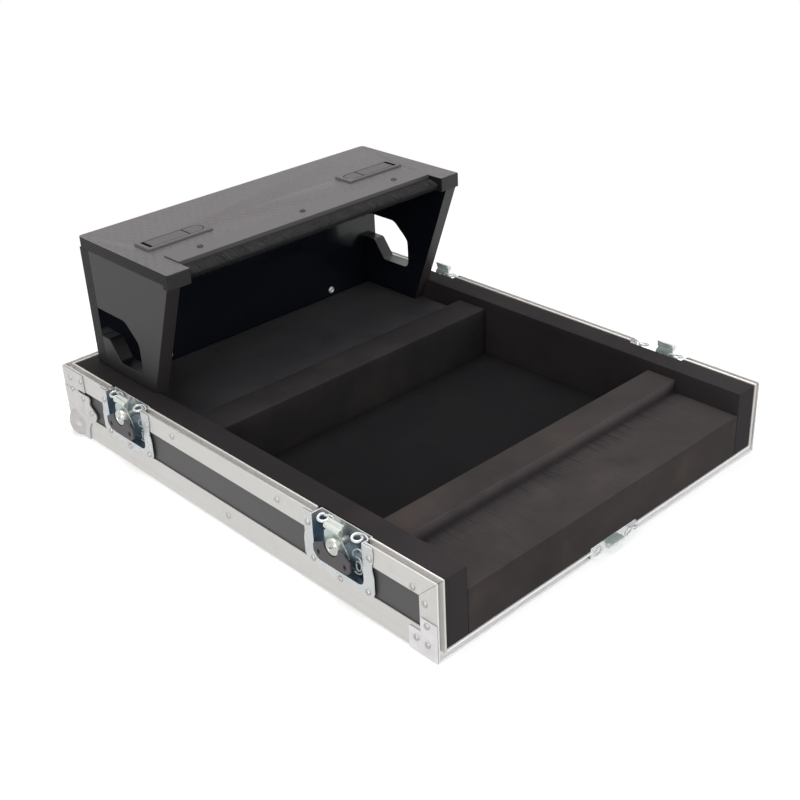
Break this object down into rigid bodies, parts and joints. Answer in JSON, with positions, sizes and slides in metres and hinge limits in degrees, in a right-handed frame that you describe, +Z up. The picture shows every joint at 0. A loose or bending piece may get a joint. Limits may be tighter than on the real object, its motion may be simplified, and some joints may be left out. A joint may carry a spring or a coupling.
{
  "type": "mixer flight case",
  "caption": "Open flight case tray for a mixer: foam bed, metal edges, recessed butterfly latches and a raised cable housing with a brush strip and flush latches in its lid.",
  "frame": {"origin": "middle of the outer box, on the plane that the front corner plates and ball corners stand on", "axes": "+Z up, +Y from the open front to the back wall, +X to the right seen from the front; the mirror plane is x = 0"},
  "size_m": [0.5404, 0.6626, 0.2575],
  "materials": {
    "black_laminate": "satin",
    "housing_board": "satin",
    "aluminium": "satin",
    "zinc_plate": "satin",
    "dark_grey_plate": "satin",
    "foam": "matte",
    "bristle": "matte",
    "black_plastic": "satin"
  },
  "bodies": {
    "case": {"bottom_panel": "black_laminate", "left_wall": "black_laminate", "right_wall": "black_laminate", "back_wall": "black_laminate", "left_edge_angle": "aluminium", "right_edge_angle": "aluminium", "back_edge_angle": "aluminium", "left_front_rim_profile": "aluminium", "right_front_rim_profile": "aluminium", "left_rim_profile": "aluminium", "right_rim_profile": "aluminium", "rear_rim_profile": "aluminium", "left_front_profile": "aluminium", "right_front_profile": "aluminium", "left_ball_corner": "zinc_plate", "right_ball_corner": "zinc_plate", "left_rear_corner_brace": "zinc_plate", "right_rear_corner_brace": "zinc_plate", "left_front_corner_plate": "zinc_plate", "right_front_corner_plate": "zinc_plate", "left_foam_liner": "foam", "right_foam_liner": "foam", "front_foam_block": "foam", "rear_foam_block": "foam", "back_foam_liner": "foam", "well_floor_foam": "foam", "left_housing_cheek": "housing_board", "right_housing_cheek": "housing_board", "housing_back_board": "housing_board", "left_front_latch_dish": "zinc_plate", "left_rear_latch_dish": "zinc_plate", "right_front_latch_dish": "zinc_plate", "right_rear_latch_dish": "zinc_plate", "bottom_latch_dish": "zinc_plate"},
    "lid": {"housing_lid": "housing_board", "brush_holder": "black_plastic", "brush_bristles": "bristle", "left_flush_housing": "black_plastic", "right_flush_housing": "black_plastic"},
    "left_flush_lever": {"left_flush_lever": "black_plastic"},
    "left_flush_button": {"left_flush_button": "black_plastic"},
    "left_flush_bolt": {"left_flush_bolt": "zinc_plate"},
    "right_flush_lever": {"right_flush_lever": "black_plastic"},
    "right_flush_button": {"right_flush_button": "black_plastic"},
    "right_flush_bolt": {"right_flush_bolt": "zinc_plate"},
    "left_front_latch_hook": {"left_front_latch_hook": "zinc_plate"},
    "left_front_latch_rotor": {"left_front_latch_rotor": "zinc_plate"},
    "left_front_latch_wing": {"left_front_latch_wing": "dark_grey_plate"},
    "left_rear_latch_hook": {"left_rear_latch_hook": "zinc_plate"},
    "left_rear_latch_rotor": {"left_rear_latch_rotor": "zinc_plate"},
    "left_rear_latch_wing": {"left_rear_latch_wing": "dark_grey_plate"},
    "right_front_latch_hook": {"right_front_latch_hook": "zinc_plate"},
    "right_front_latch_rotor": {"right_front_latch_rotor": "zinc_plate"},
    "right_front_latch_wing": {"right_front_latch_wing": "dark_grey_plate"},
    "right_rear_latch_hook": {"right_rear_latch_hook": "zinc_plate"},
    "right_rear_latch_rotor": {"right_rear_latch_rotor": "zinc_plate"},
    "right_rear_latch_wing": {"right_rear_latch_wing": "dark_grey_plate"},
    "bottom_latch_hook": {"bottom_latch_hook": "zinc_plate"},
    "bottom_latch_rotor": {"bottom_latch_rotor": "zinc_plate"},
    "bottom_latch_wing": {"bottom_latch_wing": "dark_grey_plate"}
  },
  "joints": [
    {"name": "lid_lift", "type": "slide", "parent": "case", "child": "lid", "axis": [0, 0, 1], "range_m": [0, 0.12]},
    {"name": "left_flush_lever_lift", "type": "hinge", "parent": "lid", "child": "left_flush_lever", "pos_m": [-0.13585, 0.20775, 0.2575], "axis": [0, 1, 0], "range_deg": [0, 60], "stiffness_Nm_per_rad": 0.02, "springref_deg": -20.05},
    {"name": "left_flush_button_press", "type": "hinge", "parent": "lid", "child": "left_flush_button", "pos_m": [-0.13585, 0.20775, 0.2575], "axis": [0, 1, 0], "range_deg": [0, 8], "stiffness_Nm_per_rad": 0.05, "springref_deg": -5.73},
    {"name": "left_flush_bolt_slide", "type": "slide", "parent": "lid", "child": "left_flush_bolt", "axis": [1, 0, 0], "range_m": [0, 0.0072]},
    {"name": "right_flush_lever_lift", "type": "hinge", "parent": "lid", "child": "right_flush_lever", "pos_m": [0.13585, 0.20775, 0.2575], "axis": [0, -1, 0], "range_deg": [0, 60], "stiffness_Nm_per_rad": 0.02, "springref_deg": -20.05},
    {"name": "right_flush_button_press", "type": "hinge", "parent": "lid", "child": "right_flush_button", "pos_m": [0.13585, 0.20775, 0.2575], "axis": [0, -1, 0], "range_deg": [0, 8], "stiffness_Nm_per_rad": 0.05, "springref_deg": -5.73},
    {"name": "right_flush_bolt_slide", "type": "slide", "parent": "lid", "child": "right_flush_bolt", "axis": [-1, 0, 0], "range_m": [0, 0.0072]},
    {"name": "left_front_latch_turn", "type": "hinge", "parent": "case", "child": "left_front_latch_rotor", "pos_m": [-0.26, -0.18725, 0.0715], "axis": [-1, 0, 0], "range_deg": [0, 180]},
    {"name": "left_front_latch_hook_slide", "type": "slide", "parent": "case", "child": "left_front_latch_hook", "axis": [0, 0, 1], "range_m": [0, 0.007]},
    {"name": "left_front_latch_wing_fold", "type": "hinge", "parent": "left_front_latch_rotor", "child": "left_front_latch_wing", "pos_m": [-0.26865, -0.18725, 0.0715], "axis": [0, 1, 0], "range_deg": [0, 90]},
    {"name": "left_rear_latch_turn", "type": "hinge", "parent": "case", "child": "left_rear_latch_rotor", "pos_m": [-0.26, 0.19075, 0.0715], "axis": [-1, 0, 0], "range_deg": [0, 180]},
    {"name": "left_rear_latch_hook_slide", "type": "slide", "parent": "case", "child": "left_rear_latch_hook", "axis": [0, 0, 1], "range_m": [0, 0.007]},
    {"name": "left_rear_latch_wing_fold", "type": "hinge", "parent": "left_rear_latch_rotor", "child": "left_rear_latch_wing", "pos_m": [-0.26865, 0.19075, 0.0715], "axis": [0, 1, 0], "range_deg": [0, 90]},
    {"name": "right_front_latch_turn", "type": "hinge", "parent": "case", "child": "right_front_latch_rotor", "pos_m": [0.26, -0.18725, 0.0715], "axis": [1, 0, 0], "range_deg": [0, 180]},
    {"name": "right_front_latch_hook_slide", "type": "slide", "parent": "case", "child": "right_front_latch_hook", "axis": [0, 0, 1], "range_m": [-0.007, 0]},
    {"name": "right_front_latch_wing_fold", "type": "hinge", "parent": "right_front_latch_rotor", "child": "right_front_latch_wing", "pos_m": [0.26865, -0.18725, 0.0715], "axis": [0, -1, 0], "range_deg": [0, 90]},
    {"name": "right_rear_latch_turn", "type": "hinge", "parent": "case", "child": "right_rear_latch_rotor", "pos_m": [0.26, 0.19075, 0.0715], "axis": [1, 0, 0], "range_deg": [0, 180]},
    {"name": "right_rear_latch_hook_slide", "type": "slide", "parent": "case", "child": "right_rear_latch_hook", "axis": [0, 0, 1], "range_m": [-0.007, 0]},
    {"name": "right_rear_latch_wing_fold", "type": "hinge", "parent": "right_rear_latch_rotor", "child": "right_rear_latch_wing", "pos_m": [0.26865, 0.19075, 0.0715], "axis": [0, -1, 0], "range_deg": [0, 90]},
    {"name": "bottom_latch_turn", "type": "hinge", "parent": "case", "child": "bottom_latch_rotor", "pos_m": [0, -0.30325, 0.0015], "axis": [0, 0, -1], "range_deg": [0, 180]},
    {"name": "bottom_latch_hook_slide", "type": "slide", "parent": "case", "child": "bottom_latch_hook", "axis": [0, -1, 0], "range_m": [-0.007, 0]},
    {"name": "bottom_latch_wing_fold", "type": "hinge", "parent": "bottom_latch_rotor", "child": "bottom_latch_wing", "pos_m": [0, -0.30325, 0.00455], "axis": [-1, 0, 0], "range_deg": [0, 90]}
  ],
  "couplings": [
    {"joint": "left_flush_bolt_slide", "follows": "left_flush_lever_lift", "m_per_rad": 0.0065},
    {"joint": "right_flush_bolt_slide", "follows": "right_flush_lever_lift", "m_per_rad": 0.0065},
    {"joint": "left_front_latch_hook_slide", "follows": "left_front_latch_turn", "m_per_rad": 0.00222},
    {"joint": "left_rear_latch_hook_slide", "follows": "left_rear_latch_turn", "m_per_rad": 0.00222},
    {"joint": "right_front_latch_hook_slide", "follows": "right_front_latch_turn", "m_per_rad": -0.00222},
    {"joint": "right_rear_latch_hook_slide", "follows": "right_rear_latch_turn", "m_per_rad": -0.00222},
    {"joint": "bottom_latch_hook_slide", "follows": "bottom_latch_turn", "m_per_rad": -0.00222}
  ]
}
